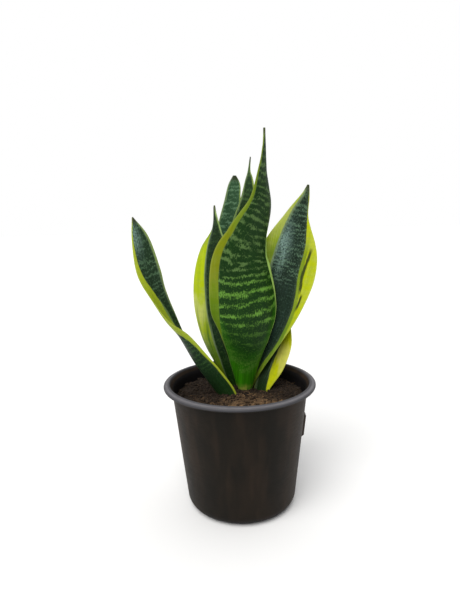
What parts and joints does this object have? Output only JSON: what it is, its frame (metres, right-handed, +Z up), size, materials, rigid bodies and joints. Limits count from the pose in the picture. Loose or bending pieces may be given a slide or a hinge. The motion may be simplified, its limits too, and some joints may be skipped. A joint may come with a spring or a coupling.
{
  "type": "potted snake plant",
  "caption": "Potted snake plant: upright, twisted sword-shaped leaves with yellow margins on a buried rhizome, in potting soil in a round tapered nursery pot.",
  "frame": {"origin": "centre of the pot's underside, on the pot's axis and in the plane that the pot stands on", "axes": "+Z up along the pot's axis, -Y towards the plant's front, +X towards its right-hand side as seen from the front"},
  "size_m": [0.1842, 0.16, 0.389],
  "materials": {
    "pot_plastic": "satin",
    "soil": "matte",
    "rhizome": "matte",
    "leaf": "satin"
  },
  "bodies": {
    "root": {"pot": "pot_plastic", "potting_soil": "soil", "rhizome": "rhizome", "leaf_front": "leaf", "leaf_left_leaning": "leaf", "leaf_left": "leaf", "leaf_rear_left": "leaf", "leaf_rear_pointed": "leaf", "leaf_right": "leaf", "leaf_right_short": "leaf"}
  },
  "joints": []
}
